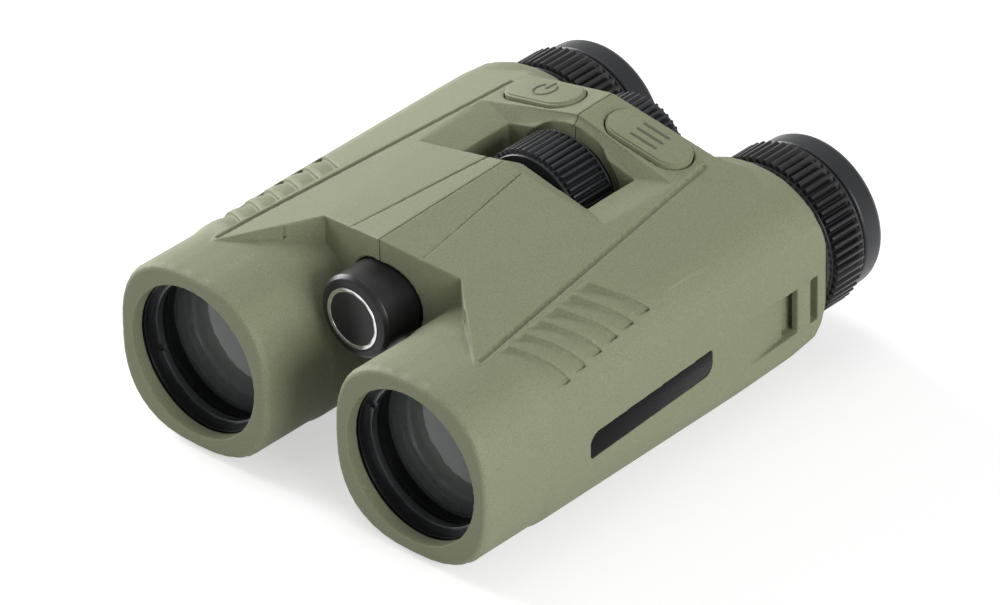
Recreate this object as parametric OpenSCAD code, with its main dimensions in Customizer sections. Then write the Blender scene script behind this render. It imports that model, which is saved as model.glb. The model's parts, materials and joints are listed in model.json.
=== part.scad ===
// Laser rangefinder of binocular form: two armoured barrels on one hinge, every
// piece its own node. Millimetres, +Z up, objectives towards -Y, eyecups towards +Y.
// The row frame's origin is under the middle of the part, on the plane it lies on.

/* [Barrels] */
// from the hinge plane to each barrel's optical axis, barrels fully apart
barrel_x = 38; // [34:0.5:42]
// half width of the rounded-square rim at the objective end
rim_half = 26.3; // [24:0.1:28]
// half width of the barrel behind the step
body_half = 26.8; // [25:0.1:29]
// squareness of the barrel's section: 2 is round, 4 is nearly square
squareness = 2.6; // [2:0.1:4]
// where the rim steps out to the barrel
step_y = 24; // [18:0.5:30]
// rear face of the rubber armour
armour_l = 136.5; // [130:0.5:140]
// radius of the armour's rear face
rear_r = 24.1; // [23:0.1:25.5]
// height of the eyepiece's axis above the objective's
eye_z = 2; // [0:0.1:3]
// radius of the opening inside the rubber rim
mouth_r = 21.8; // [20:0.1:23]
// how far the flat outer side leans in, per millimetre rearward
side_lean = 0.044; // [0:0.002:0.08]

/* [Chassis] */
// bore of the front tube, which holds the objective and the prism
tube_bore_r = 22.4; // [20:0.1:23]
// wall of the front tube
tube_wall = 1; // [0.8:0.1:1.6]
// outside of the narrower rear tube
rear_tube_r = 21; // [20:0.1:22]
// bore of the rear tube, which holds the eyepiece
rear_bore_r = 16.5; // [15:0.1:18]
// where the front tube ends and the rear tube starts
tube_step_y = 95; // [90:0.5:100]
// how far the eyepiece's flange stands inside the armour's rear face
flange_in = 2.5; // [1.5:0.1:5]

/* [Hinge] */
// height of the hinge axis above the barrel axes
hinge_z = 19.1; // [17:0.1:22]
// outside of the metal knuckles
knuckle_r = 13.5; // [12:0.1:14]
// hollow axle, the knuckles' bearing and the battery's tube
axle_r = 10; // [9:0.1:11]
// running clearance between the left knuckles and the axle
hinge_run = 0.05; // [0.01:0.01:0.1]
// clearance between the knuckles and the other half's armour
hinge_air = 0.35; // [0.3:0.05:0.8]
// half the angle kept free under the axis so the halves can fold
fold_half_deg = 21; // [19:0.5:25]

/* [Deck] */
// height of the deck at the seam, front edge and rear edge
deck_z = [38, 39.5, 40.6];
// front edge, start of the wheel window, rear edge along the seam
deck_y = [31.1, 78.8, 121.1];
// corner where the bridge's front face meets the wing
corner = [23.6, 36.1, 33.3];
// front point of the wing on top of the barrel
wing_tip = [45.6, 16.8, 26.1];
// rear outer corner of the deck
deck_rear = [33.3, 124, 32.5];
// half the seam between the two deck halves
seam_half = 0.15; // [0.1:0.05:0.4]

/* [Ribs] */
// grip recesses on each barrel
rib_n = 6; // [4:1:8]
// first recess: inner end on the barrel's shoulder
rib_start = [46.6, 28.2];
// distance from one recess to the next, along the barrel and towards the middle
rib_step = [-0.62, 6.76];
// how far a recess runs outwards, and how far back it sweeps on the way
rib_run = [14.2, 8.1];
// depth at the sharp rear edge, and length of the ramp
rib_depth = 1.1; // [0.5:0.1:2]
rib_ramp = 5.2; // [3:0.1:6.5]

/* [Wheel window] */
// inner opening: half width, front edge, rear edge
window = [22, 86, 104.6];
// bevel's outer line at the sides: half width, front, rear, height
window_out = [34, 80, 107, 32.2];
// radius cleared around the wheel
wheel_clear_r = 18.3; // [18:0.1:18.5]

/* [Focus] */
// knurled wheel: tip radius, front face, rear face
wheel_r = 17.6; // [16:0.1:18]
wheel_y = [88.6, 103.3];
// teeth round the wheel
wheel_teeth = 44; // [36:1:60]
// shaft that carries the wheel and the rear knob
shaft_r = 3; // [2:0.1:4]
// rear knob: tip radius, front face, rear face
knob_r = 15.2; // [13:0.1:16]
knob_y = [124.6, 134.4];

/* [Front cap] */
// radius, front face and rear face
cap_r = 11.75; // [10:0.05:13]
cap_y = [20.4, 34.2];
// bright ring let into its face
cap_ring_r = [7.5, 8.6];

/* [Eyepieces] */
// plain collar in front of the knurled ring
collar_r = 22; // [21:0.1:23]
// knurled dioptre ring: tip radius, root radius, front and rear face from the armour
dioptre_r = [23.7, 22.5];
dioptre_at = [3.9, 14.2];
dioptre_teeth = 60; // [48:1:72]
// eyecup's outer radius, front and rear face from the armour
eyecup_r = 22.2; // [21:0.1:23]
eyecup_at = [16.2, 23.6];
// radial thickness of the eyecup's viewing opening
eyecup_hole_r = 17.3; // [15:0.1:18]

/* [Buttons] */
// centre of the button on the deck
button_at = [18.3, 115, 36.75];
// length across the deck and width along it
button_size = [26, 12.4];
// lean of the deck under the button
button_lean = 13; // [8:0.5:18]
// gap round the button, and how far it stands proud
button_gap = 0.45; // [0.3:0.05:0.8]
button_proud = 0.9; // [0.4:0.1:1.5]

/* [Strap lugs] */
// start of the ramp, of the slot, of the post, of the rear scoop and its end
lug_y = [101, 121, 124.5, 130, 133];
// bottom and top of the strap opening
lug_z = [-10.6, 2.9];
// bottom of the slot and back of the post, from the hinge plane
lug_x = [56.4, 58.4];
// depth of the ramp where the slot starts, and how proud the post stands
lug_ramp = 2.4; // [1.5:0.1:3.5]
lug_proud = 0.5; // [0:0.1:1]

/* [Side plate] */
// front and rear ends, lower and upper edge at the front, rise to the rear
plate_y = [39, 89];
plate_z = [-5.9, 1.4];
plate_rise = 0.9; // [0:0.1:2]
plate_t = 0.6; // [0.3:0.1:1]

/* [Hidden] */
$fn = 96;
eps = 0.01;
tube_r = tube_bore_r + tube_wall;
flange_y = armour_l - flange_in;
dioptre_y = [armour_l + dioptre_at[0], armour_l + dioptre_at[1]];
eyecup_y = [armour_l + eyecup_at[0], armour_l + eyecup_at[1]];
overall_l = eyecup_y[1];
section_n = 40;             // points round one barrel section
side_x0 = barrel_x + 26.5;  // flat outer side, at y = 39
web_y = [[36, 50.8], [51.2, 66.2], [66.6, 82]];     // right, left, right
rear_web_y = [[106.6, 112.9], [113.3, 119.6]];      // right, left
flange_r = rear_tube_r - 0.4;                       // eyepiece's flange inside the armour
tube_end = eyecup_y[0] - dioptre_y[0] - 0.4;        // eyepiece's inner sleeve, from the dioptre ring
focus_y = [40, 48];         // focusing lens cell at rest

// ---------- frames and helpers ----------

module placed() { translate([0, -overall_l / 2, body_half]) children(); }

// a right-hand piece is the left-hand one mirrored in the hinge plane
module side(s) { if (s > 0) children(); else mirror([1, 0, 0]) children(); }

// a solid turned about an axis along Y: polygon points are [radius, y]
module turned(points, x = 0, z = 0) {
  translate([x, 0, z]) rotate([90, 0, 0]) mirror([0, 0, 1]) mirror([0, 1, 0])
    rotate_extrude() polygon(points);
}
module ring(r1, r2, y1, y2, x = 0, z = 0) {
  turned([[r1, y1], [r2, y1], [r2, y2], [r1, y2]], x, z);
}
module rod(r, y1, y2, x = 0, z = 0) {
  translate([x, y1, z]) rotate([-90, 0, 0]) cylinder(r = r, h = y2 - y1);
}
module chamfered_ring(r1, r2, y1, y2, c, x = 0, z = 0) {
  turned([[r1, y1], [r2 - c, y1], [r2, y1 + c], [r2, y2 - c], [r2 - c, y2], [r1, y2]], x, z);
}
module box(a, b) { translate(a) cube(b - a); }

// saw-toothed outline for the knurled pieces
function knurl(n, tip, root) = [for (i = [0:n - 1]) each
  let (a = 360 / n)
  [root * [cos(a * i), sin(a * i)],
   tip * [cos(a * (i + 0.36)), sin(a * (i + 0.36))],
   tip * [cos(a * (i + 0.64)), sin(a * (i + 0.64))]]];
module knurled(n, tip, root, y1, y2, x = 0, z = 0) {
  translate([x, y1, z]) rotate([-90, 0, 0]) linear_extrude(height = y2 - y1) polygon(knurl(n, tip, root));
}

// ---------- outer form of one half, +X side ----------

function sgn(v) = v < 0 ? -1 : 1;
function sect(t, a, n) = [a * sgn(cos(t)) * pow(abs(cos(t)), 2 / n),
                          a * sgn(sin(t)) * pow(abs(sin(t)), 2 / n)];
// sections are [y, half width, squareness, height of the middle]
module loft(sections) {
  m = len(sections);
  pts = [for (s = sections) for (i = [0:section_n - 1])
    let (p = sect(360 * i / section_n, s[1], s[2])) [barrel_x + p[0], s[0], s[3] + p[1]]];
  walls = [for (j = [0:m - 2]) for (i = [0:section_n - 1])
    let (k = (i + 1) % section_n, a = j * section_n, b = a + section_n)
    each [[a + i, b + k, b + i], [a + i, a + k, b + k]]];
  ends = [[for (i = [section_n - 1:-1:0]) i],
          [for (i = [0:section_n - 1]) (m - 1) * section_n + i]];
  polyhedron(pts, concat(walls, ends));
}
module barrel_form() {
  n = squareness;
  loft([[0, rim_half - 1.5, n, 0], [0.4, rim_half - 0.7, n, 0], [1.8, rim_half, n, 0],
        [step_y - 0.6, rim_half, n, 0], [step_y + 0.6, body_half, n, 0],
        [103, body_half, n, mid_z(103)], [124, body_half - 0.2, n, mid_z(124)],
        [armour_l - 4.5, body_half - 0.6, n - 0.1, mid_z(armour_l - 4.5)],
        [armour_l - 1.8, rear_r + 1.3, 2.3, mid_z(armour_l)], [armour_l - 0.5, rear_r + 0.3, 2.05, mid_z(armour_l)],
        [armour_l, rear_r - 0.4, 2.05, mid_z(armour_l)]]);
}
// the barrel's middle rises gently towards the eyepiece
function mid_z(y) = eye_z * lookup(y, [[step_y, 0], [103, 0.37], [armour_l, 0.85]]);
// height of the barrel's upper surface at x, the wing included
function top_z(x, y) = max(
  mid_z(y) + body_half * pow(1 - pow(min(abs(x - barrel_x) / body_half, 1), squareness), 1 / squareness),
  let (u = (y - wing_tip[1]) / (deck_rear[1] - wing_tip[1]),
       xr = wing_tip[0] + u * (deck_rear[0] - wing_tip[0]), zr = wing_tip[2] + u * (deck_rear[2] - wing_tip[2]),
       // straight from the ridge to the barrel, 48 mm out
       zo = body_half * pow(1 - pow((52 - barrel_x) / body_half, squareness), 1 / squareness))
  x < xr ? zr : x < 52 ? zr + (zo - zr) * (x - xr) / (52 - xr) : -100);
module arc_points(y, a, n, t1, t2) {
  for (t = [t1:9:t2]) let (p = sect(t, a, n))
    translate([barrel_x + p[0], y, mid_z(y) + p[1]]) mirror([0, 0, 1]) cylinder(r1 = 0.02, r2 = 0, h = 0.02, $fn = 4);
}
module dot(p) { translate(p) mirror([0, 0, 1]) cylinder(r1 = 0.02, r2 = 0, h = 0.02, $fn = 4); }

// central deck from the seam to the line between the corner and the deck's rear corner
module deck_form() {
  hull() {
    for (i = [0:2]) { dot([0, deck_y[i], deck_z[i]]); dot([0, deck_y[i], 8]); }
    dot(corner); dot([corner[0], corner[1], 8]);
    dot(deck_rear); dot([deck_rear[0], deck_rear[1] - 2, 8]);
    dot([0, deck_y[2] + 1.4, deck_z[2] - 4]); dot([deck_rear[0], deck_rear[1] + 1.5, deck_rear[2] - 5]);
  }
}
// the wing over the barrel and the shoulder outside it
module wing_form() {
  hull() {
    dot(corner); dot(wing_tip); dot(deck_rear);
    arc_points(step_y + 4, body_half, squareness, 7.5, 97.5);
    arc_points(112, body_half, squareness, 7.5, 97.5);
    arc_points(126, body_half - 0.25, squareness, 15, 97.5);
  }
}
// the armour's slope down to its rear face
module tail_form() {
  hull() {
    dot([deck_rear[0], deck_rear[1], deck_rear[2]]);
    arc_points(126, body_half - 0.25, squareness, 15, 120);
    rod(rear_r - 0.4, armour_l - 1.5, armour_l - 1, barrel_x, mid_z(armour_l));
    rod(rear_r - 2, 100, 101, barrel_x);
  }
}
module half_form() {
  difference() {
    union() { barrel_form(); deck_form(); wing_form(); tail_form(); }
    // flat outer side
    translate([side_x0, 39, 0]) rotate([0, 0, atan(side_lean)]) translate([0, -100, -60]) cube([30, 260, 120]);
    // nothing past the seam
    box([-50, -20, -60], [seam_half, 200, 80]);
    // room to fold, below the axis
    translate([0, 300, hinge_z]) rotate([90, 0, 0]) linear_extrude(height = 400)
      polygon([[0, 0], [0, -80], [80 * tan(fold_half_deg), -80]]);
  }
}

// prism from a to b with a w by depth section, sunk below the surface line
module groove(a, b, w, depth) {
  hull() for (p = [a, b]) translate([p[0] - w / 2, p[1], p[2] - depth]) cube([w, 0.01, depth + 3]);
}
// grip recess: a ramp that deepens rearwards, swept back towards the outside
module rib_cut(i) {
  x0 = rib_start[0] + i * rib_step[0];
  y0 = rib_start[1] + i * rib_step[1];
  m = 6;
  pts = [for (j = [0:m])
    let (x = x0 + rib_run[0] * j / m, y = y0 + rib_run[1] * j / m, z = top_z(x, y), f = top_z(x, y - rib_ramp))
    each [[x, y - rib_ramp, f + 0.15], [x + 0.3 * rib_depth * -1, y, z - rib_depth], [x, y, z + 4], [x, y - rib_ramp, f + 4]]];
  walls = [for (j = [0:m - 1]) for (k = [0:3])
    let (a = 4 * j + k, b = 4 * j + (k + 1) % 4) each [[a, b + 4, b], [a, a + 4, b + 4]]];
  polyhedron(pts, concat(walls, [[0, 1, 2, 3]], [[4 * m + 3, 4 * m + 2, 4 * m + 1, 4 * m]]));
}
// opening for the finger on the wheel, with bevels down to it
module window_cut() {
  w = window; o = window_out;
  hull() {
    for (z = [0, 20]) {
      dot([-2, deck_y[1], deck_z[1] + z]); dot([0, deck_y[1], deck_z[1] + z]);
      dot([-2, 107.5, 39.95 + z]); dot([0, 107.5, 39.95 + z]);
      dot([o[0], o[1], o[3] + z]); dot([o[0], o[2], o[3] + z]);
    }
    dot([-2, w[1], 35.6]); dot([0, w[1], 35.6]); dot([-2, w[2], 36.6]); dot([0, w[2], 36.6]);
    dot([w[0], w[1], 30]); dot([w[0], w[2], 30.2]);
  }
  box([-2, w[1], hinge_z + 1], [w[0], w[2], 45]);
}
function side_x(y) = side_x0 - side_lean * (y - 39);
// ramped pocket, the slot behind the strap post and the scoop behind it
module lug_cut() {
  y = lug_y; out = side_x0 + 2;
  translate([0, 0, lug_z[0]]) linear_extrude(height = lug_z[1] - lug_z[0])
    polygon([[out, y[0] - 4], [side_x(y[0]) + 0.05, y[0]], [side_x(y[1]) - lug_ramp, y[1] - 0.4], [lug_x[0], y[1] + 0.6],
             [lug_x[0], y[4]], [out, y[4]], [out, y[3]], [lug_x[1], y[3]], [lug_x[1], y[2]], [out, y[2]]]);
}
// rubber left solid round the slot
module lug_boss() { box([lug_x[0] - 1, lug_y[0] - 4, lug_z[0] - 1.4], [side_x0 + 3, flange_y, lug_z[1] + 1.4]); }
module lug_post() {
  hull() for (g = [[-0.6, 0], [lug_proud, 0.7]])
    box([lug_x[1], lug_y[2] + 0.05 + g[1], lug_z[0] - 0.6 + g[1]], [side_x(lug_y[3]) + g[0], lug_y[3] - 0.4 - g[1], lug_z[1] + 1.6 - g[1]]);
}
module plate_outline(inset = 0) {
  y1 = plate_y[0] + inset; y2 = plate_y[1] - inset;
  z1 = plate_z[0] + inset; z2 = plate_z[1] - inset; r = 3.4 - inset; u = plate_rise;
  // rounded at the top front and the bottom rear, square at the other two corners
  polygon(concat([[y1 + 0.6, z1], [y1, z1 + 0.6]],
    [for (t = [180:-15:90]) [y1 + r + r * cos(t), z2 - r + r * sin(t)]],
    [[y2 - 0.6, z2 + u], [y2, z2 + u - 0.6]],
    [for (t = [0:-15:-90]) [y2 - r + r * cos(t), z1 + u + r + r * sin(t)]]));
}
module on_side(depth) {
  // the polygon's x runs along the side's length, its y up
  translate([side_x0, 39, 0]) rotate([0, 0, atan(side_lean)]) rotate([90, 0, 90])
    translate([-39, 0, -depth]) linear_extrude(height = depth + 3) children();
}

module stadium(l, w, h) {
  for (e = [-1, 1]) translate([e * (l - w) / 2, 0, 0]) cylinder(r = w / 2, h = h);
  translate([-(l - w) / 2, -w / 2, 0]) cube([l - w, w, h]);
}
module at_button() { translate(button_at) rotate([0, button_lean, 0]) rotate([0, 0, 4]) children(); }

// ---------- armour ----------

module armour(s) {
  color([0.55, 0.58, 0.47]) placed() side(s) difference() {
    // the moulded outside is one mesh, and the bores after it stay true cylinders
    resize([0, 0, 0]) difference() {
      union() { half_form(); lug_post(); }
      for (i = [0:rib_n - 1]) rib_cut(i);
      groove([12.4, 32.6, 35.9], [5.8, 79.6, 38.3], 0.8, 0.7);
      groove([45.6, 18.4, 26.2], [33.6, 119.5, 32.3], 1.8, 0.6);
      window_cut();
      lug_cut();
      hinge_room($fn = 64);
      web_blocks(s);
      if (s < 0) bay();
      if (s > 0) on_side(plate_t) plate_outline();
      at_button($fn = 32) translate([0, 0, -3.6]) stadium(button_size[0] + 2 * button_gap, button_size[1] + 2 * button_gap, 12);
    }
    turned([[0, -1], [mouth_r, -1], [mouth_r, 4], [tube_r, 4], [tube_r, tube_step_y], [0, tube_step_y]], barrel_x);
    difference() {
      rod(rear_tube_r, tube_step_y - 1, flange_y, barrel_x, eye_z);
      lug_boss();
    }
    rod(flange_r + 0.2, flange_y - eps, armour_l + 1, barrel_x, eye_z);
  }
}
module hinge_room() {
  rod(cap_r + 0.4, cap_y[0] - 1, web_y[0][0] - 0.4, 0, hinge_z);
  rod(knuckle_r + hinge_air, web_y[0][0] - 0.4, 82.4, 0, hinge_z);
  rod(axle_r + 0.5, 82, 86, 0, hinge_z);
  rod(wheel_clear_r, 85.6, 106.2, 0, hinge_z);
  rod(knuckle_r + hinge_air, 106, 140, 0, hinge_z);
  rod(knob_r + 0.6, knob_y[0] - 1.2, 145, 0, hinge_z);
}

// ---------- chassis ----------

module web_blocks(s) {
  ys = s < 0 ? [web_y[0], web_y[2], rear_web_y[0]] : [web_y[1], rear_web_y[1]];
  for (y = ys) box([8.5, max(y[0], 38.5), 13], [28, y[1], 23]);
}
// dry bay for the circuit board, above the right barrel
module bay() { box([16.6, 44, 24.6], [29, 81, 29.6]); }

module chassis(s) {
  ys = s < 0 ? [web_y[0], web_y[2], rear_web_y[0]] : [web_y[1], rear_web_y[1]];
  color([0.16, 0.17, 0.18]) placed() side(s) difference() {
    union() {
      rod(tube_r, 4, tube_step_y, barrel_x);
      rod(rear_tube_r, tube_step_y - 1, flange_y, barrel_x, eye_z);
      web_blocks(s);
      for (y = ys) rod(knuckle_r, y[0], y[1], 0, hinge_z);
    }
    rod(tube_bore_r, 3, 92, barrel_x);
    rod(rear_bore_r, 91, flange_y + 1, barrel_x, eye_z);
    for (y = ys) rod(axle_r + (s < 0 ? 0 : hinge_run), y[0] - 1, y[1] + 1, 0, hinge_z);
    lug_boss();
  }
}

// ---------- objective ----------

module objective_cell(s) {
  color([0.06, 0.06, 0.065]) placed() side(s)
    turned([[mouth_r - 0.5, 4.4], [tube_bore_r, 4.4], [tube_bore_r, 26], [20.2, 26], [20.2, 20.6], [20.9, 20.6],
            [20.9, 12], [20.6, 12], [20.6, 11.2], [21, 11.2], [21, 10.4], [20.6, 10.4], [20.6, 9.6],
            [21.2, 9.6], [21.2, 6.4]], barrel_x);
}
module retaining_ring(s) {
  color([0.35, 0.36, 0.37]) placed() side(s) difference() {
    ring(20, 21.2, 7.6, 9.6, barrel_x);
    for (a = [20, 200]) translate([barrel_x, 7.2, 0]) rotate([0, a, 0]) translate([19, 0, -0.9]) cube([3, 1.4, 1.8]);
  }
}
// biconvex lens: edge radius, faces at the middle, depth of each curve
module lens(r, y1, y2, c1, c2, x, z = 0) {
  turned(concat([for (i = [0:8]) [r * i / 8, y1 + c1 * i * i / 64]],
                [for (i = [8:-1:0]) [r * i / 8, y2 - c2 * i * i / 64]]), x, z);
}
module objective_lens(s) {
  color([0.35, 0.42, 0.42, 0.5]) placed() side(s) lens(20.9, 12.6, 20.6, 2.2, 1.4, barrel_x);
}

// ---------- focusing lenses ----------

module focus_cell(s) {
  color([0.1, 0.1, 0.1]) placed() side(s)
    ring(18, tube_bore_r - 0.08, focus_y[0], focus_y[1], barrel_x);
}
module focus_lens(s) {
  color([0.35, 0.42, 0.42, 0.5]) placed() side(s) lens(18, focus_y[0] + 1.4, focus_y[1] - 1.2, 1.6, 0.8, barrel_x);
}

// ---------- prisms ----------

module prism_holder(s) {
  color([0.12, 0.12, 0.13]) placed() side(s) difference() {
    union() {
      rod(tube_bore_r, 58, 60.5, barrel_x);
      rod(tube_bore_r, 88.5, 91, barrel_x);
      box([barrel_x - 14, 58, -14.5], [barrel_x + 14, 91, 14.5]);
    }
    rod(11, 57, 92, barrel_x);
    box([barrel_x - 12.2, 60.5, -12.2], [barrel_x + 12.2, 88.5, 16]);
  }
}
// roof pair seen as two wedges with an air gap
module prism(s) {
  color([0.7, 0.75, 0.75, 0.5]) placed() side(s) {
    translate([barrel_x - 12, 0, 0]) rotate([90, 0, 90]) linear_extrude(height = 24)
      polygon([[60.5, -12.2], [86, -12.2], [60.5, 12]]);
    translate([barrel_x - 12, 0, 0]) rotate([90, 0, 90]) linear_extrude(height = 24)
      polygon([[63, 12], [88.5, 12], [88.5, -11.6]]);
  }
}

// ---------- eyepieces ----------

module at_eye() { translate([barrel_x, dioptre_y[0], eye_z]) children(); }
module eyepiece_tube(s) {
  c = collar_r; f = flange_y - dioptre_y[0]; e = armour_l + 0.2 - dioptre_y[0];
  color([0.05, 0.05, 0.055]) placed() side(s) at_eye()
    turned([[15, f - 20], [rear_bore_r, f - 20], [rear_bore_r, f], [flange_r, f], [flange_r, e], [c - 0.4, e], [c, e + 0.4],
            [c, -0.8], [c - 0.4, -0.4], [20.5, -0.4], [20.5, tube_end], [19.5, tube_end], [19.5, -0.4],
            [17, -0.4], [17, tube_end - 0.8], [15, tube_end - 0.8], [15, tube_end - 1.8], [15.3, tube_end - 1.8],
            [15.3, 2.7], [15, 2.7]]);
}
module ocular_lens(s) {
  color([0.35, 0.42, 0.42, 0.5]) placed() side(s) at_eye() lens(15.3, 2.7, tube_end - 2, 2, 2.4, 0);
}
module dioptre_ring(s) {
  l = dioptre_y[1] - dioptre_y[0];
  color([0.05, 0.05, 0.055]) placed() side(s) at_eye() difference() {
    union() {
      knurled(dioptre_teeth, dioptre_r[0], dioptre_r[1], 0.5, l - 0.5);
      rod(dioptre_r[1] - 0.2, 0, l);
    }
    rod(20.55, -1, l + 1);
  }
}
module eyepiece_collar(s) {
  color([0.05, 0.05, 0.055]) placed() side(s) at_eye()
    chamfered_ring(20.5, dioptre_r[1] - 0.3, dioptre_y[1] - dioptre_y[0] + 0.3, tube_end, 0.4);
}
module eyecup_guide(s) {
  color([0.3, 0.3, 0.31]) placed() side(s) at_eye() ring(17.05, 17.75, 1.2, tube_end - 1.4);
}
module eyecup_sleeve(s) {
  color([0.05, 0.05, 0.055]) placed() side(s) at_eye()
    ring(17.8, 19.2, 0.8, eyecup_y[0] + 2 - dioptre_y[0]);
}
module eyecup(s) {
  h = eyecup_hole_r; r = eyecup_r; a = eyecup_y[0] - dioptre_y[0]; b = eyecup_y[1] - dioptre_y[0];
  color([0.045, 0.045, 0.05]) placed() side(s) at_eye()
    turned([[19.2, a], [r - 0.5, a], [r, a + 0.5], [r, b - 1.6], [r - 0.5, b - 0.5], [r - 1.6, b], [r - 2.6, b],
            [h + 0.3, b - 1.4], [h, b - 2.2], [h, a + 2], [19.2, a + 2]]);
}

// ---------- buttons and side plate ----------

module button(s) {
  color([0.57, 0.6, 0.49]) placed() side(s) at_button() translate([0, 0, -2.7]) {
    stadium(button_size[0], button_size[1], 2.7 + button_proud - 0.5);
    translate([0, 0, 2.2 + button_proud]) stadium(button_size[0] - 1, button_size[1] - 1, 0.5);
  }
}
module side_plate() {
  color([0.03, 0.03, 0.035]) placed() intersection() {
    on_side(plate_t) plate_outline(0.12);
    translate([side_x0 - 0.1, 39, 0]) rotate([0, 0, atan(side_lean)]) translate([-4, -20, -20]) cube([4, 100, 40]);
  }
}

// ---------- hinge and battery ----------

module hinge_axle() {
  color([0.5, 0.5, 0.52]) placed() difference() {
    rod(axle_r, 31.4, 84, 0, hinge_z);
    rod(8.6, 30, 63, 0, hinge_z);
    rod(8, 65, 85, 0, hinge_z);
    rod(shaft_r + 0.4, 62, 66, 0, hinge_z);
  }
}
module rear_bushing() {
  color([0.6, 0.55, 0.35]) placed() difference() {
    union() { rod(axle_r, 106.6, 119.6, 0, hinge_z); rod(axle_r + 2, 119.9, 121, 0, hinge_z); rod(axle_r, 119, 120.5, 0, hinge_z); }
    rod(shaft_r + 0.05, 105, 123, 0, hinge_z);
  }
}
module battery() {
  color([0.25, 0.3, 0.35]) placed() { rod(7.8, 34.6, 61.2, 0, hinge_z); rod(3, 33.6, 34.6, 0, hinge_z); }
}
module battery_contact() {
  color([0.8, 0.7, 0.4]) placed() rod(6, 32.6, 33.4, 0, hinge_z);
}
module battery_cap() {
  color([0.06, 0.065, 0.07]) placed() difference() {
    union() {
      turned([[0, cap_y[0]], [cap_r - 2.6, cap_y[0]], [cap_r - 0.9, cap_y[0] + 0.5], [cap_r, cap_y[0] + 1.6],
              [cap_r, cap_y[1] - 0.3], [cap_r - 0.3, cap_y[1]], [axle_r + 0.3, cap_y[1]], [axle_r + 0.3, 31.2],
              [8.4, 31.2], [8.4, 32.6], [0, 32.6]], 0, hinge_z);
    }
    ring(cap_ring_r[0], cap_ring_r[1], cap_y[0] - 1, cap_y[0] + 0.5, 0, hinge_z);
  }
}
module cap_ring() {
  color([0.72, 0.73, 0.74]) placed() ring(cap_ring_r[0], cap_ring_r[1], cap_y[0] - 0.1, cap_y[0] + 0.5, 0, hinge_z);
}

// ---------- electronics ----------

module circuit_board() {
  color([0.1, 0.35, 0.2]) placed() mirror([1, 0, 0]) {
    box([17.2, 45, 24.6], [28.4, 80, 25.8]);
    box([19, 48, 25.8], [26, 55, 27]);
    box([20, 60, 25.8], [27, 72, 27.4]);
    box([18, 75, 25.8], [22, 79, 28.5]);
  }
}
module laser_emitter() {
  color([0.3, 0.3, 0.32]) placed() { box([barrel_x + 14, 64, -4], [barrel_x + 20.5, 76, 4]); rod(2.6, 60.5, 64, barrel_x + 17.2); }
}
module laser_receiver() {
  color([0.3, 0.3, 0.32]) placed() mirror([1, 0, 0]) { box([barrel_x + 14, 64, -4.5], [barrel_x + 20.4, 74, 4.5]); rod(2.8, 60.5, 64, barrel_x + 17.2); }
}
module display_module() {
  color([0.15, 0.16, 0.2]) placed() mirror([1, 0, 0]) { box([barrel_x - 8, 76, -20.3], [barrel_x + 8, 86, -14.5]); }
}

// ---------- focusing ----------

module focus_wheel() {
  color([0.05, 0.05, 0.055]) placed() difference() {
    union() {
      knurled(wheel_teeth, wheel_r, wheel_r - 1.1, wheel_y[0] + 0.8, wheel_y[1] - 2.2, 0, hinge_z);
      chamfered_ring(0.1, wheel_r - 1.3, wheel_y[0], wheel_y[1], 0.5, 0, hinge_z);
      chamfered_ring(0.1, wheel_r - 0.3, wheel_y[1] - 1.9, wheel_y[1], 0.4, 0, hinge_z);
    }
    rod(shaft_r, wheel_y[0] - 1, wheel_y[1] + 1, 0, hinge_z);
  }
}
module focus_shaft() {
  color([0.6, 0.6, 0.62]) placed() { rod(shaft_r, 64, 133, 0, hinge_z); }
}
module rear_knob() {
  color([0.05, 0.05, 0.055]) placed() difference() {
    union() {
      knurled(40, knob_r, knob_r - 1, knob_y[0] + 0.8, knob_y[1] - 2, 0, hinge_z);
      chamfered_ring(0.1, knob_r - 1.1, knob_y[0], knob_y[1], 0.6, 0, hinge_z);
    }
    rod(shaft_r, knob_y[0] - 1, 133, 0, hinge_z);
  }
}
module focus_nut() {
  color([0.75, 0.65, 0.4]) placed() difference() {
    rod(7.92, 66, 72, 0, hinge_z);
    rod(shaft_r + 0.05, 65, 73, 0, hinge_z);
  }
}

// ---------- assembly ----------

chassis(-1);  // right_chassis
chassis(1);  // left_chassis
armour(-1);  // right_armour
armour(1);  // left_armour
objective_cell(-1);  // right_objective_cell
objective_cell(1);  // left_objective_cell
retaining_ring(-1);  // right_retaining_ring
retaining_ring(1);  // left_retaining_ring
objective_lens(-1);  // right_objective_lens
objective_lens(1);  // left_objective_lens
focus_cell(-1);  // right_focus_cell
focus_cell(1);  // left_focus_cell
focus_lens(-1);  // right_focus_lens
focus_lens(1);  // left_focus_lens
prism_holder(-1);  // right_prism_holder
prism_holder(1);  // left_prism_holder
prism(-1);  // right_prism
prism(1);  // left_prism
eyepiece_tube(-1);  // right_eyepiece_tube
eyepiece_tube(1);  // left_eyepiece_tube
ocular_lens(-1);  // right_ocular_lens
ocular_lens(1);  // left_ocular_lens
dioptre_ring(-1);  // right_dioptre_ring
dioptre_ring(1);  // left_dioptre_ring
eyepiece_collar(-1);  // right_eyepiece_collar
eyepiece_collar(1);  // left_eyepiece_collar
eyecup_guide(-1);  // right_eyecup_guide
eyecup_guide(1);  // left_eyecup_guide
eyecup_sleeve(-1);  // right_eyecup_sleeve
eyecup_sleeve(1);  // left_eyecup_sleeve
eyecup(-1);  // right_eyecup
eyecup(1);  // left_eyecup
button(-1);  // measure_button
button(1);  // mode_button
side_plate();
hinge_axle();
rear_bushing();
battery();
battery_contact();
battery_cap();
cap_ring();
circuit_board();
laser_emitter();
laser_receiver();
display_module();
focus_wheel();
focus_shaft();
rear_knob();
focus_nut();
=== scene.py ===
# Laser rangefinder of binocular form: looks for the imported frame.
import json
import math
import bpy
from mathutils import Matrix, Vector

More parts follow.
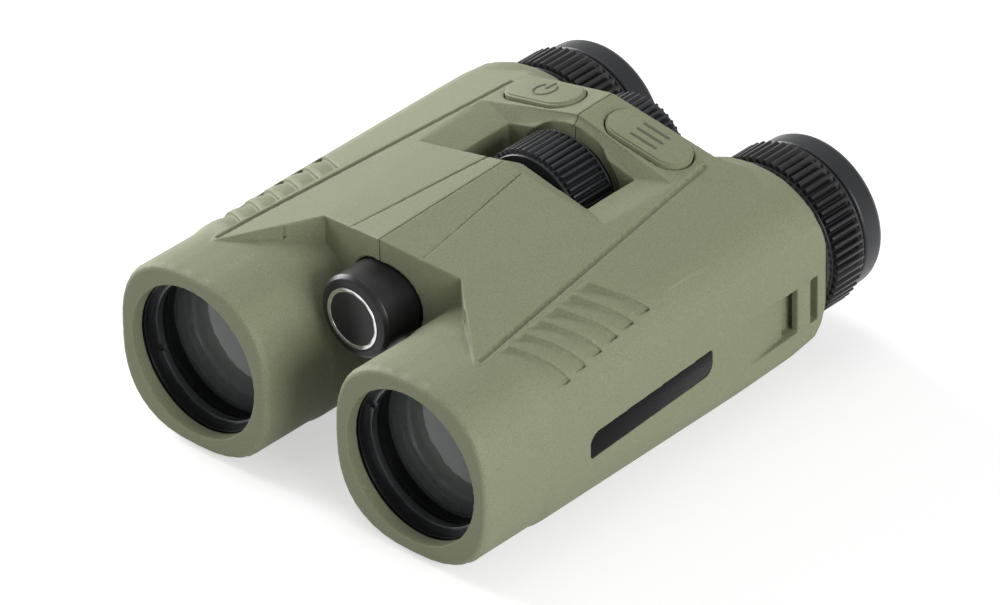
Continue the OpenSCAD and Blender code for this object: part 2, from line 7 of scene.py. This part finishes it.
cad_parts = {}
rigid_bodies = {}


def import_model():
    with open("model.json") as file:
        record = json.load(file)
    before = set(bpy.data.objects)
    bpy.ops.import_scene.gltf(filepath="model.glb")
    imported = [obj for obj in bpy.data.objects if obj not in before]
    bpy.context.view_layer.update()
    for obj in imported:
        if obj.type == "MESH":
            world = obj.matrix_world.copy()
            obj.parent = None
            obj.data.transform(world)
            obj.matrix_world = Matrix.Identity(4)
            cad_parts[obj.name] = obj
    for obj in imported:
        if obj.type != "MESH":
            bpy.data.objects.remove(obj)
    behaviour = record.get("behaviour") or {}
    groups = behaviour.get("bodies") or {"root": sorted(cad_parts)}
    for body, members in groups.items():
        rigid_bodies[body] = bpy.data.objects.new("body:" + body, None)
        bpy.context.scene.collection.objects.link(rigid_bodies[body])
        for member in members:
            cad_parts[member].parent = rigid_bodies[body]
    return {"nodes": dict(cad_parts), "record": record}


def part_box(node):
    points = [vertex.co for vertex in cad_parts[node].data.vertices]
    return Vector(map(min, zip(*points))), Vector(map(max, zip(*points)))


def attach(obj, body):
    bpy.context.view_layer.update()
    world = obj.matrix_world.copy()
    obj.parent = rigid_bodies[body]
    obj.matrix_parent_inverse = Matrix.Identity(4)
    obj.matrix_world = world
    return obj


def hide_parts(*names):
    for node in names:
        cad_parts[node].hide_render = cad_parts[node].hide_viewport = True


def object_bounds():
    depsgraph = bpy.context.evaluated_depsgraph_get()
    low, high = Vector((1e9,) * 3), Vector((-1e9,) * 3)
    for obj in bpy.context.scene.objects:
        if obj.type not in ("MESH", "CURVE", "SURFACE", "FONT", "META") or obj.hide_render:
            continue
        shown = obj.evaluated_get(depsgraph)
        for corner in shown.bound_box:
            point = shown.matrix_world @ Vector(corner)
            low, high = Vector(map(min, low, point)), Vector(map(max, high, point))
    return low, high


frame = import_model()
cad_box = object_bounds()
nodes = frame["nodes"]
record = frame["record"]
body_of_node = {n: b for b, ns in record["behaviour"]["bodies"].items() for n in ns}
slot_of_node = {s["node"]: s["material_slot"] for s in record["subparts"]}
MM = 0.001


def middle(node):
    lo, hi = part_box(node)
    return (Vector(lo) + Vector(hi)) / 2


# ---------- camera ----------

def place_camera():
    azimuth, elevation, roll = math.radians(42.79), math.radians(32.17), math.radians(-1.3)
    rim_front, barrel_axis = cad_box[0][1], middle("left_objective_cell").z
    aim, distance = Vector((0, rim_front + 76 * MM, barrel_axis - 2.65 * MM)), 1.965
    back = Vector((math.sin(azimuth) * math.cos(elevation),
                   -math.cos(azimuth) * math.cos(elevation), math.sin(elevation)))
    right = Vector((math.cos(azimuth), math.sin(azimuth), 0))
    up = back.cross(right)
    side = right * math.cos(roll) + up * math.sin(roll)
    top = up * math.cos(roll) - right * math.sin(roll)
    data = bpy.data.cameras.new("camera")
    data.sensor_width = 36
    data.lens = 271.1
    data.clip_end = 20
    camera = bpy.data.objects.new("camera", data)
    bpy.context.scene.collection.objects.link(camera)
    turned = Matrix((side, top, back)).transposed().to_4x4()
    camera.matrix_world = Matrix.Translation(aim + back * distance) @ turned
    bpy.context.scene.camera = camera


place_camera()
scene = bpy.context.scene
scene.view_settings.view_transform = "Standard"


# ---------- shader groups ----------

def new_group(name, inputs, outputs):
    group = bpy.data.node_groups.new(name, "ShaderNodeTree")
    for socket, kind, value in inputs:
        s = group.interface.new_socket(name=socket, in_out="INPUT", socket_type=kind)
        if value is not None:
            s.default_value = value
    for socket, kind in outputs:
        group.interface.new_socket(name=socket, in_out="OUTPUT", socket_type=kind)
    return group, group.nodes.new("NodeGroupInput"), group.nodes.new("NodeGroupOutput")


def link(tree, a, b):
    tree.links.new(a, b)


def math_node(tree, op, a, b, clamp=False):
    n = tree.nodes.new("ShaderNodeMath")
    n.operation, n.use_clamp = op, clamp
    for i, v in enumerate((a, b)):
        if isinstance(v, (int, float)):
            n.inputs[i].default_value = v
        else:
            link(tree, v, n.inputs[i])
    return n.outputs[0]


def build_moulded_grain():
    """Spark-eroded mould grain: height, a speckle mask and a slow mottling."""
    g, i, o = new_group("moulded_grain",
                        [("Vector", "NodeSocketVector", None), ("Scale", "NodeSocketFloat", 2400.0)],
                        [(socket, "NodeSocketFloat") for socket in ("Height", "Speckle", "Mottle")])
    fine = g.nodes.new("ShaderNodeTexNoise")
    fine.inputs["Detail"].default_value = 3
    fine.inputs["Roughness"].default_value = 0.65
    cells = g.nodes.new("ShaderNodeTexVoronoi")
    cells.feature = "SMOOTH_F1"
    cells.inputs["Smoothness"].default_value = 0.6
    slow = g.nodes.new("ShaderNodeTexNoise")
    slow.inputs["Scale"].default_value = 45
    slow.inputs["Detail"].default_value = 4
    for n in (fine, cells, slow):
        link(g, i.outputs["Vector"], n.inputs["Vector"])
    link(g, i.outputs["Scale"], fine.inputs["Scale"])
    link(g, math_node(g, "MULTIPLY", i.outputs["Scale"], 0.7), cells.inputs["Scale"])
    height = math_node(g, "ADD", math_node(g, "MULTIPLY", fine.outputs[0], 0.6),
                       math_node(g, "MULTIPLY", cells.outputs["Distance"], 0.5))
    link(g, height, o.inputs["Height"])
    speck = g.nodes.new("ShaderNodeMapRange")
    speck.inputs["From Min"].default_value, speck.inputs["From Max"].default_value = 0.35, 0.68
    link(g, fine.outputs[0], speck.inputs["Value"])
    link(g, speck.outputs[0], o.inputs["Speckle"])
    link(g, slow.outputs[0], o.inputs["Mottle"])
    return g


def build_edge_wear_and_groove_shade():
    """Where an edge stands proud, for worn edges, and where a groove lies deep, for painted shade in the
    groove, from the surface's own curvature.
    """
    g, i, o = new_group("edge_wear_and_groove_shade",
                        [("Width", "NodeSocketFloat", 0.52), ("Amount", "NodeSocketFloat", 0.5)],
                        [("Mask", "NodeSocketFloat"), ("Painted_Groove_Shade", "NodeSocketFloat")])
    geo = g.nodes.new("ShaderNodeNewGeometry")
    m = g.nodes.new("ShaderNodeMapRange")
    m.inputs["From Max"].default_value = 0.62
    link(g, geo.outputs["Pointiness"], m.inputs["Value"])
    link(g, i.outputs["Width"], m.inputs["From Min"])
    link(g, math_node(g, "MULTIPLY", m.outputs[0], i.outputs["Amount"], True), o.inputs["Mask"])
    deep = g.nodes.new("ShaderNodeMapRange")
    deep.inputs["From Min"].default_value, deep.inputs["From Max"].default_value = 0.485, 0.43
    link(g, geo.outputs["Pointiness"], deep.inputs["Value"])
    link(g, deep.outputs[0], o.inputs["Painted_Groove_Shade"])
    return g


GRAIN = build_moulded_grain()
WEAR_AND_GROOVE_SHADE = build_edge_wear_and_groove_shade()


def use(tree, group, **values):
    n = tree.nodes.new("ShaderNodeGroup")
    n.node_tree = group
    for k, v in values.items():
        n.inputs[k].default_value = v
    if "Vector" in n.inputs:
        coords = tree.nodes.new("ShaderNodeTexCoord")
        link(tree, coords.outputs["Object"], n.inputs["Vector"])
    return n


def mix_colour(tree, factor, a, b):
    m = tree.nodes.new("ShaderNodeMix")
    m.data_type = "RGBA"
    for socket, v in ((m.inputs[0], factor), (m.inputs[6], a), (m.inputs[7], b)):
        if isinstance(v, (tuple, list)):
            socket.default_value = (*v[:3], 1)
        elif isinstance(v, (int, float)):
            socket.default_value = v
        else:
            link(tree, v, socket)
    return m.outputs[2]


def new_material(name, **sockets):
    m = bpy.data.materials.new(name)
    m.use_nodes = True
    bsdf = m.node_tree.nodes["Principled BSDF"]
    for k, v in sockets.items():
        bsdf.inputs[k.replace("_", " ")].default_value = (*v, 1) if isinstance(v, tuple) else v
    return m, m.node_tree, bsdf


def add_bump(tree, bsdf, height, strength, distance):
    b = tree.nodes.new("ShaderNodeBump")
    b.inputs["Strength"].default_value = strength
    b.inputs["Distance"].default_value = distance
    link(tree, height, b.inputs["Height"])
    link(tree, b.outputs[0], bsdf.inputs["Normal"])
    return b


def grained(name, light, dark, rough, grain_scale, bump, wear=None, speckle=0.5, spec=0.5):
    """Moulded rubber or plastic: two tones through a fine speckle, slow mottling, worn edges, and painted
    shade darkening the deep grooves.
    """
    m, t, bsdf = new_material(name, Specular_IOR_Level=spec)
    grain = use(t, GRAIN, Scale=grain_scale)
    tone = mix_colour(t, math_node(t, "MULTIPLY", grain.outputs["Speckle"], speckle), dark, light)
    tone = mix_colour(t, math_node(t, "MULTIPLY", grain.outputs["Mottle"], 0.22), tone, dark)
    # With an edge colour given, proud edges take that worn colour and deep grooves get painted shade.
    if wear:
        edge = use(t, WEAR_AND_GROOVE_SHADE, Width=0.53, Amount=0.35)
        tone = mix_colour(t, edge.outputs["Mask"], tone, wear)
        # Painted shade: deep grooves are darkened towards a third of the dark tone, standing in for the
        # shade that falls in them.
        shade = math_node(t, "MULTIPLY", edge.outputs["Painted_Groove_Shade"], 0.6)
        tone = mix_colour(t, shade, tone, tuple(c * 0.3 for c in dark))
    link(t, tone, bsdf.inputs["Base Color"])
    r = t.nodes.new("ShaderNodeMapRange")
    r.inputs["To Min"].default_value, r.inputs["To Max"].default_value = rough - 0.05, rough + 0.07
    link(t, grain.outputs["Speckle"], r.inputs["Value"])
    link(t, r.outputs[0], bsdf.inputs["Roughness"])
    add_bump(t, bsdf, grain.outputs["Height"], bump, 0.00012)
    return m


def turned_metal(name, colour, rough, metallic=1.0):
    """Machined metal: fine tool lines round the barrel axis direction."""
    m, t, bsdf = new_material(name, Metallic=metallic)
    coords = t.nodes.new("ShaderNodeTexCoord")
    lines = t.nodes.new("ShaderNodeTexNoise")
    stretch = t.nodes.new("ShaderNodeMapping")
    stretch.inputs["Scale"].default_value = (60, 5200, 60)
    link(t, coords.outputs["Object"], stretch.inputs["Vector"])
    link(t, stretch.outputs[0], lines.inputs["Vector"])
    lines.inputs["Scale"].default_value = 1
    lines.inputs["Detail"].default_value = 2
    tone = mix_colour(t, lines.outputs[0], tuple(c * 0.8 for c in colour), colour)
    link(t, tone, bsdf.inputs["Base Color"])
    r = t.nodes.new("ShaderNodeMapRange")
    r.inputs["To Min"].default_value, r.inputs["To Max"].default_value = rough - 0.06, rough + 0.1
    link(t, lines.outputs[0], r.inputs["Value"])
    link(t, r.outputs[0], bsdf.inputs["Roughness"])
    add_bump(t, bsdf, lines.outputs[0], 0.25, 0.00002)
    return m


def coated_glass(name, painted_shade_tint):
    # Painted shade: half of the lens is a diffuse dark grey-green body that stands in for the unlit barrel
    # interior seen through the glass.
    m, t, bsdf = new_material(name, Base_Color=painted_shade_tint, Roughness=0.02, IOR=1.52, Transmission_Weight=0.5)
    return m


SAGE_LIGHT, SAGE_DARK = (0.278, 0.297, 0.188), (0.184, 0.199, 0.121)
armour_green = grained("sage_armour_rubber", SAGE_LIGHT, SAGE_DARK, 0.62, 2600, 0.35,
                       wear=(0.32, 0.34, 0.225), speckle=0.95, spec=0.35)
# The marks' darker green is painted shade: the raised strokes are the button's own green, and the dark
# stands in for the shadow along their sides.
shaded_mark_green = grained("raised_mark_painted_shade_green", (0.12, 0.13, 0.082), (0.085, 0.092, 0.056), 0.6, 2600, 0.2)
housing_black = grained("housing_black_paint", (0.012, 0.0125, 0.014), (0.006, 0.006, 0.007), 0.5, 1900,
                        0.3, wear=(0.03, 0.03, 0.032), spec=0.3)
anodised = grained("black_anodising", (0.009, 0.0095, 0.011), (0.005, 0.005, 0.006), 0.33, 3200, 0.12,
                   wear=(0.04, 0.042, 0.046), spec=0.4)
knurl_black = grained("knurled_black", (0.013, 0.014, 0.017), (0.008, 0.009, 0.011), 0.34, 2800, 0.15,
                      wear=(0.05, 0.053, 0.06), spec=0.45)
eyecup_black = grained("eyecup_rubber", (0.015, 0.016, 0.019), (0.009, 0.010, 0.012), 0.36, 2400, 0.12,
                       wear=(0.04, 0.042, 0.046), spec=0.45)
cap_black = grained("cap_satin_black", (0.011, 0.0115, 0.013), (0.007, 0.007, 0.008), 0.34, 3000, 0.05,
                    wear=(0.03, 0.031, 0.034), spec=0.4)
plate_black = grained("plate_gloss_black", (0.006, 0.006, 0.007), (0.004, 0.004, 0.0045), 0.28, 900, 0.02,
                      speckle=0.7, spec=0.1)
ring_grey = turned_metal("ring_grey_anodised", (0.20, 0.21, 0.22), 0.34)
bright = turned_metal("polished_ring", (0.78, 0.79, 0.81), 0.16)
steel = turned_metal("hinge_steel", (0.46, 0.47, 0.49), 0.3)
brass = turned_metal("bearing_brass", (0.62, 0.47, 0.22), 0.3)
# The grey-green lens colour is painted shade for the dark interior behind the glass.
shade_tinted_glass = coated_glass("coated_glass", (0.200, 0.235, 0.225))
sleeve_grey = grained("battery_sleeve", (0.10, 0.14, 0.18), (0.07, 0.1, 0.13), 0.35, 900, 0.05)
board = grained("board_mask", (0.03, 0.16, 0.07), (0.02, 0.10, 0.045), 0.35, 1500, 0.1)
module = grained("module_black", (0.05, 0.05, 0.055), (0.03, 0.03, 0.034), 0.5, 2000, 0.2)
SLOTS = {
    "armour_rubber": armour_green, "magnesium_housing": housing_black, "black_anodised": anodised,
    "ring_metal": ring_grey, "coated_glass": shade_tinted_glass, "eyecup_rubber": eyecup_black,
    "gloss_black": plate_black, "hinge_steel": steel, "bearing_brass": brass,
    "battery_sleeve": sleeve_grey, "satin_black": cap_black, "bright_ring": bright,
    "board_green": board, "module_black": module, "knurl_black": knurl_black,
}


# ---------- modelling helpers ----------

def deselect():
    if bpy.context.object and bpy.context.object.mode != "OBJECT":
        bpy.ops.object.mode_set(mode="OBJECT")
    bpy.ops.object.select_all(action="DESELECT")


def pick(obj):
    deselect()
    obj.select_set(True)
    bpy.context.view_layer.objects.active = obj


def edit(obj, select="SELECT"):
    pick(obj)
    bpy.ops.object.mode_set(mode="EDIT")
    bpy.ops.mesh.select_all(action=select)


def done():
    bpy.ops.object.mode_set(mode="OBJECT")


def copy_of(node, name):
    """A merged copy of a CAD node's mesh, to be finished as a piece."""
    src = nodes[node]
    obj = bpy.data.objects.new(name, src.data.copy())
    scene.collection.objects.link(obj)
    obj.matrix_world = src.matrix_world.copy()
    obj.data.materials.clear()
    edit(obj)
    bpy.ops.mesh.remove_doubles(threshold=1e-6)
    done()
    return obj


def select_where(obj, test):
    """Selects the vertices whose place passes the test, and stays in edit mode."""
    pick(obj)
    bpy.ops.object.mode_set(mode="EDIT")
    bpy.ops.mesh.select_all(action="DESELECT")
    bpy.ops.object.mode_set(mode="OBJECT")
    for v in obj.data.vertices:
        v.select = test(v.co)
    bpy.ops.object.mode_set(mode="EDIT")
    bpy.ops.mesh.select_mode(type="VERT")


def modify(obj, kind, **values):
    pick(obj)
    m = obj.modifiers.new(kind.lower(), kind)
    for k, v in values.items():
        setattr(m, k, v)
    bpy.ops.object.modifier_apply(modifier=m.name)


def finish_piece(obj, node, material):
    pick(obj)
    bpy.ops.object.transform_apply(location=True, rotation=True, scale=True)
    obj.data.materials.clear()
    obj.data.materials.append(material)
    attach(obj, body_of_node[node])
    return obj


def edge_broken(node, width, angle=28, segments=2, smooth=30):
    """The CAD piece with its sharp edges broken as a moulded or machined one has them."""
    obj = copy_of(node, node + "_finished")
    edit(obj)
    bpy.ops.mesh.dissolve_limited(angle_limit=math.radians(0.6))
    done()
    modify(obj, "BEVEL", width=width, segments=segments, limit_method="ANGLE",
           angle_limit=math.radians(angle), use_clamp_overlap=True, miter_outer="MITER_ARC")
    pick(obj)
    bpy.ops.object.shade_smooth_by_angle(angle=math.radians(smooth))
    finish_piece(obj, node, SLOTS[slot_of_node[node]])
    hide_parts(node)
    return obj


# ---------- rubber armour ----------

def web_filler(side):
    """Rubber that closes the hollow under the deck beside the cap, so the moulding runs on unbroken."""
    plan = {(-1, -1): (31.2, -51.2), (1, -1): (23.7, -44.0), (1, 1): (23.7, -38.0), (-1, 1): (33.0, -42.0)}
    deck_height, deck_fall, base = 59.8, 0.284, 50.0
    deselect()
    bpy.ops.mesh.primitive_cube_add(size=2 * MM)
    obj = bpy.context.object
    for (cx, cy), (x, y) in plan.items():
        for top in (-1, 1):
            z = deck_height - deck_fall * (x - 22.1) if top > 0 else base
            done()
            select_where(obj, lambda p: (p - Vector((cx, cy, top)) * MM).length < 0.01 * MM)
            bpy.ops.transform.translate(value=((-x - cx) * MM, (y - cy) * MM, (z - top) * MM))
    edit(obj)
    if side > 0:
        bpy.ops.transform.resize(value=(-1, 1, 1), center_override=(0, 0, 0))
    bpy.ops.mesh.normals_make_consistent(inside=False)
    done()
    return obj


def soft_armour(node, side):
    """Moulded rubber: the CAD form, its edges rounded by a fine remesh and its plain areas evened out."""
    obj, filler = copy_of(node, node + "_moulded"), web_filler(side)
    pick(obj)
    filler.select_set(True)
    bpy.ops.object.join()
    modify(obj, "REMESH", mode="VOXEL", voxel_size=0.29 * MM, adaptivity=0)
    edit(obj, "DESELECT")
    bpy.ops.mesh.select_mode(type="EDGE")
    bpy.ops.mesh.edges_select_sharp(sharpness=math.radians(16))
    bpy.ops.mesh.select_mode(type="VERT")
    for _ in range(3):
        bpy.ops.mesh.select_more()
    bpy.ops.mesh.select_all(action="INVERT")
    plain = obj.vertex_groups.new(name="plain")
    bpy.ops.object.vertex_group_assign()
    done()
    modify(obj, "SMOOTH", factor=0.5, iterations=110, vertex_group=plain.name)
    modify(obj, "SMOOTH", factor=0.5, iterations=2)
    modify(obj, "DECIMATE", ratio=min(1, 185000 / (2 * len(obj.data.polygons))))
    pick(obj)
    bpy.ops.object.shade_smooth()
    finish_piece(obj, node, armour_green)
    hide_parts(node)
    return obj


soft_armour("right_armour", -1)
soft_armour("left_armour", 1)

BUTTON_SINK, DECK_LEAN = 0.35, math.radians(13)
for key, side in (("measure_button", -1), ("mode_button", 1)):
    button = edge_broken(key, 0.45 * MM, segments=3, smooth=60)
    out, heart = Vector((side * math.sin(DECK_LEAN), 0, math.cos(DECK_LEAN))), middle(key)
    select_where(button, lambda p: (p - heart).dot(out) > 0)
    bpy.ops.transform.translate(value=out * -BUTTON_SINK * MM)
    done()


# ---------- marks on the buttons ----------

BUTTONS = {-1: "measure_button", 1: "mode_button"}


def on_button(side):
    """Frame on top of a button: x along it, y across it, z out of it."""
    splay, half_height = math.radians(4), (1.8 - BUTTON_SINK) * MM
    m = Matrix.Rotation(side * DECK_LEAN, 4, "Y") @ Matrix.Rotation(side * splay, 4, "Z")
    return Matrix.Translation(middle(BUTTONS[side])) @ m @ Matrix.Translation((0, 0, half_height))


def line_mark(name, strokes, side, node, thick=0.5):
    """Raised line work: each stroke is a list of points in millimetres on the button's top."""
    curve = bpy.data.curves.new(name, "CURVE")
    curve.dimensions = "3D"
    curve.bevel_depth = thick * MM
    curve.bevel_resolution = 2
    curve.use_fill_caps = True
    for points in strokes:
        s = curve.splines.new("POLY")
        s.points.add(len(points) - 1)
        for p, (x, y) in zip(s.points, points):
            p.co = (x * MM, y * MM, 0, 1)
    obj = bpy.data.objects.new(name, curve)
    scene.collection.objects.link(obj)
    pick(obj)
    bpy.ops.object.convert(target="MESH")
    obj = bpy.context.object
    obj.matrix_world = on_button(side) @ Matrix.Diagonal((1, 1, 0.7, 1))
    pick(obj)
    bpy.ops.object.transform_apply(location=True, rotation=True, scale=True)
    bpy.ops.object.shade_smooth()
    # The mark's darker green is painted shade along the raised strokes.
    finish_piece(obj, node, shaded_mark_green)
    return obj


ring_gap = 38
power_ring = [(3.3 * math.sin(math.radians(a)), 3.3 * math.cos(math.radians(a)))
              for a in range(ring_gap, 361 - ring_gap, 8)]
line_mark("power_mark", [power_ring, [(0, 0.5), (0, 4.1)]], -1, "measure_button")
line_mark("menu_mark", [[(-4.2, y), (4.2, y)] for y in (-2.9, 0, 2.9)], 1, "mode_button")


# ---------- knurled pieces ----------

def knurled(node, teeth, root, bore, front_band, rear_band, rear_r=None, reach=0.0):
    """Ribbed grip: flat ribs parted by narrow cuts, closed at both ends to smooth bands and a bore."""
    lo, hi = (list(corner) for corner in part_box(node))
    c = middle(node)
    tip = (hi[0] - lo[0]) / 2
    lo[1] -= reach
    front, rear = lo[1] + front_band, hi[1] - rear_band
    deselect()
    bpy.ops.mesh.primitive_circle_add(vertices=4 * teeth, radius=tip, location=(c.x, front, c.z),
                                      rotation=(math.pi / 2, 0, 0))
    obj = bpy.context.object
    obj.name = node + "_knurled"
    bpy.ops.object.transform_apply(location=True, rotation=True, scale=True)

    def radius(p):
        return math.hypot(p.x - c.x, p.z - c.z)

    def grow(factor, y):
        bpy.ops.transform.resize(value=(factor, 1, factor), center_override=(c.x, y, c.z))

    def spin_by(angle, y):
        bpy.ops.transform.rotate(value=angle, orient_axis="Y", center_override=(c.x, y, c.z))

    step = 2 * math.pi / teeth

    def place_in_rib(p):
        return round((math.atan2(p.z - c.z, p.x - c.x) + math.pi / 2) / (step / 4)) % 4

    steep, slope, chamfer = 0.13, 0.04, 0.25 * MM
    for place, turn in ((1, -steep * step), (3, slope * step)):
        select_where(obj, lambda p: place_in_rib(p) == place)
        spin_by(turn, front)
        done()
    select_where(obj, lambda p: place_in_rib(p) == 0)
    grow(root / tip, front)
    edit(obj)
    bpy.ops.mesh.extrude_region_move(TRANSFORM_OT_translate={"value": (0, rear - front, 0)})
    for y, end, flange in ((front, lo[1], root), (rear, hi[1], rear_r or root)):
        done()
        select_where(obj, lambda p: abs(p.y - y) < 1e-6)
        bpy.ops.mesh.extrude_region_move(TRANSFORM_OT_translate={"value": (0, (end - y) * 0.001, 0)})
        close = y + (end - y) * 0.001
        done()
        select_where(obj, lambda p: abs(p.y - close) < 1e-7 and radius(p) > (tip + root) / 2)
        grow(root / tip, close)
        done()
        select_where(obj, lambda p: abs(p.y - close) < 1e-7)
        if flange != root:
            bpy.ops.mesh.extrude_region_move(TRANSFORM_OT_translate={"value": (0, 0.15 * MM, 0)})
            grow(flange / root, close)
        last = end - (chamfer if end > y else -chamfer)
        at = obj_selected_y(obj)
        bpy.ops.mesh.extrude_region_move(TRANSFORM_OT_translate={"value": (0, last - at, 0)})
        bpy.ops.mesh.extrude_region_move(TRANSFORM_OT_translate={"value": (0, end - last, 0)})
        grow(1 - chamfer / flange, end)
        bpy.ops.mesh.extrude_region_move()
        grow(bore / (flange - chamfer), end)
    done()
    select_where(obj, lambda p: abs(radius(p) - bore) < 0.05 * MM)
    bpy.ops.mesh.bridge_edge_loops()
    bpy.ops.mesh.select_all(action="SELECT")
    bpy.ops.mesh.remove_doubles(threshold=1e-6)
    bpy.ops.mesh.normals_make_consistent(inside=False)
    done()
    modify(obj, "BEVEL", width=0.07 * MM, segments=2, limit_method="ANGLE",
           angle_limit=math.radians(35), use_clamp_overlap=True)
    pick(obj)
    bpy.ops.object.shade_smooth_by_angle(angle=math.radians(30))
    finish_piece(obj, node, SLOTS[slot_of_node[node]])
    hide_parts(node)
    return obj


def obj_selected_y(obj):
    """Height along the axis of what is selected in edit mode."""
    obj.update_from_editmode()
    ys = [v.co.y for v in obj.data.vertices if v.select]
    return sum(ys) / len(ys)


knurled("focus_wheel", 54, 16.2 * MM, 3 * MM, 0.9 * MM, 0.9 * MM, rear_r=17.3 * MM)
knurled("rear_knob", 46, 13.9 * MM, 3 * MM, 0.8 * MM, 0.9 * MM)
for half in ("right", "left"):
    knurled(half + "_dioptre_ring", 60, 22.2 * MM, 20.55 * MM, 0.5 * MM, 0.4 * MM, reach=1.4 * MM)


# ---------- black turned pieces ----------

for half in ("right", "left"):
    edge_broken(half + "_eyecup", 0.25 * MM, angle=20, segments=3, smooth=40)
    edge_broken(half + "_eyepiece_collar", 0.1 * MM, angle=20)
    edge_broken(half + "_eyepiece_tube", 0.12 * MM, angle=30)
    edge_broken(half + "_objective_cell", 0.08 * MM, angle=30)
    edge_broken(half + "_retaining_ring", 0.06 * MM, angle=30)
edge_broken("battery_cap", 0.2 * MM, angle=12, segments=3, smooth=50)
edge_broken("cap_ring", 0.05 * MM)
edge_broken("side_plate", 0.12 * MM)

for name, obj in nodes.items():
    obj.data.materials.clear()
    obj.data.materials.append(SLOTS[slot_of_node[name]])
    pick(obj)
    bpy.ops.object.shade_smooth_by_angle(angle=math.radians(30))


# ---------- floor and light ----------

def stage():
    bpy.ops.mesh.primitive_plane_add(size=6, location=(0, 0, -0.0004))
    floor = bpy.context.object
    floor.name = "floor"
    m, t, bsdf = new_material("floor_paper", Base_Color=(0.62, 0.62, 0.62), Roughness=0.9,
                              Specular_IOR_Level=0.1)
    path = t.nodes.new("ShaderNodeLightPath")
    glow = t.nodes.new("ShaderNodeEmission")
    add = t.nodes.new("ShaderNodeAddShader")
    glow.inputs["Color"].default_value = (1, 1, 1, 1)
    seen = math_node(t, "MAXIMUM", path.outputs["Is Camera Ray"], path.outputs["Is Glossy Ray"])
    seen = math_node(t, "MAXIMUM", seen, path.outputs["Is Transmission Ray"])
    link(t, math_node(t, "MULTIPLY", seen, 0.55), glow.inputs["Strength"])
    link(t, bsdf.outputs[0], add.inputs[0])
    link(t, glow.outputs[0], add.inputs[1])
    link(t, add.outputs[0], t.nodes["Material Output"].inputs["Surface"])
    floor.data.materials.append(m)


def lamp(name, at, to, size, power):
    data = bpy.data.lights.new(name, "AREA")
    data.shape, data.size, data.size_y, data.energy = "RECTANGLE", size[0], size[1], power
    obj = bpy.data.objects.new(name, data)
    scene.collection.objects.link(obj)
    direction = Vector(to) - Vector(at)
    turned = direction.to_track_quat("-Z", "Y").to_matrix().to_4x4()
    obj.matrix_world = Matrix.Translation(Vector(at)) @ turned


def world_light(strength):
    world = bpy.data.worlds.new("studio")
    scene.world = world
    world.use_nodes = True
    t = world.node_tree
    bg = t.nodes["Background"]
    path = t.nodes.new("ShaderNodeLightPath")
    through = math_node(t, "MAXIMUM", path.outputs["Is Camera Ray"], path.outputs["Is Transmission Ray"])
    seen = math_node(t, "MAXIMUM", through, math_node(t, "MULTIPLY", path.outputs["Is Glossy Ray"], 0.6))
    level = t.nodes.new("ShaderNodeMapRange")
    level.inputs["To Min"].default_value, level.inputs["To Max"].default_value = strength, 1.0
    link(t, seen, level.inputs["Value"])
    bg.inputs["Color"].default_value = (1, 1, 1, 1)
    link(t, level.outputs[0], bg.inputs["Strength"])


stage()
world_light(0.3)
lamp("left_softbox", (-1.6, 0.05, 0.62), (0, 0, 0.03), (1.2, 0.9), 38)
lamp("right_softbox", (1.6, -0.25, 0.6), (0, 0, 0.03), (1.1, 0.8), 22)
lamp("overhead_softbox", (-0.3, 0.1, 1.7), (0, 0, 0.02), (1.2, 1.2), 5)
